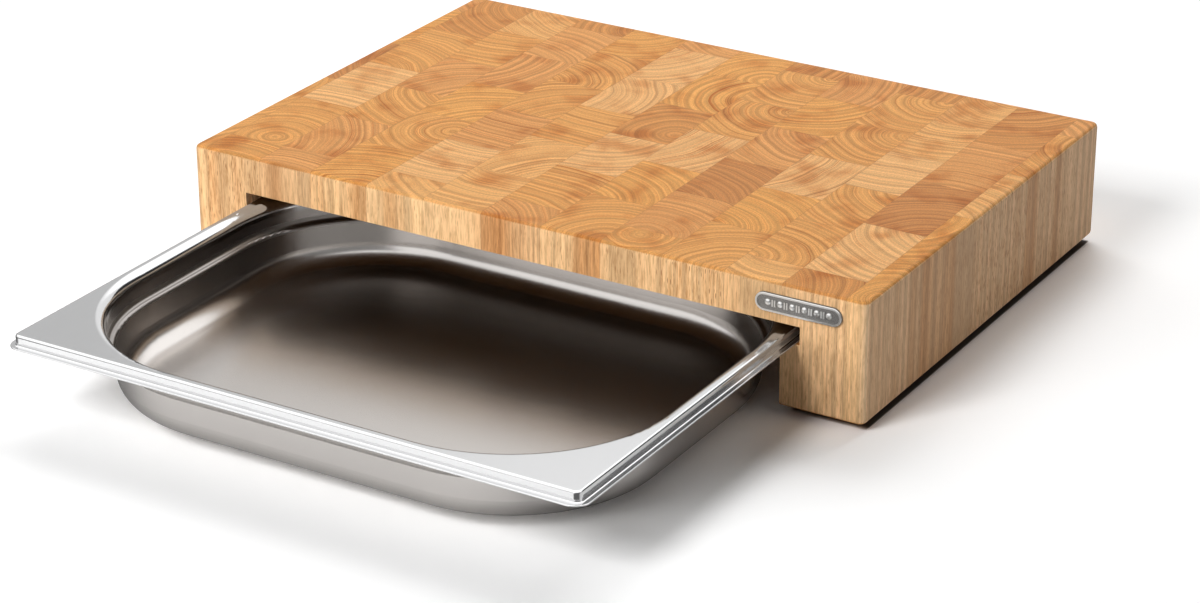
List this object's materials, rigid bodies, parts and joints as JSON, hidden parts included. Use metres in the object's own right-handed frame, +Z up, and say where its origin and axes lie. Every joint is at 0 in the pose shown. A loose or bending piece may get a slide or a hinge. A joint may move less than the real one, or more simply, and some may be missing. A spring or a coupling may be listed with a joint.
{
  "type": "chopping block with drawer tray",
  "caption": "End-grain chopping block on rubber feet, milled out below so that a stainless container slides under it in side grooves like a drawer and catches scraps.",
  "frame": {"origin": "on the table, in the middle of the box round the block and the container as drawn out at rest", "axes": "+Z up, +X to the right along the front, +Y from the front to the back; the container is pulled out along -Y"},
  "size_m": [0.398, 0.473, 0.069],
  "materials": {
    "rubberwood": "oiled end grain on top, fine long grain on the sides",
    "tray_steel": "satin pressed stainless with a brighter rim",
    "badge_metal": "cast, nickel coloured",
    "foot_rubber": "matt black",
    "zinc_steel": "bright zinc plated"
  },
  "bodies": {
    "block": {"strip_outer_left": "rubberwood", "strip_leg_left": "rubberwood", "strip_leg_right": "rubberwood", "strip_outer_right": "rubberwood", "strip_side_left": "rubberwood", "strip_middle_1": "rubberwood", "strip_middle_2": "rubberwood", "strip_middle_3": "rubberwood", "strip_middle_4": "rubberwood", "strip_middle_5": "rubberwood", "strip_middle_6": "rubberwood", "strip_middle_7": "rubberwood", "strip_side_right": "rubberwood", "badge": "badge_metal", "foot_front_left": "foot_rubber", "foot_front_right": "foot_rubber", "foot_back_left": "foot_rubber", "foot_back_right": "foot_rubber", "foot_washers": "zinc_steel", "foot_screws": "zinc_steel"},
    "tray": {"tray": "tray_steel"}
  },
  "joints": [
    {"name": "tray_slide", "type": "slide", "parent": "block", "child": "tray", "axis": [0, -1, 0], "range_m": [-0.2, 0.08]}
  ]
}
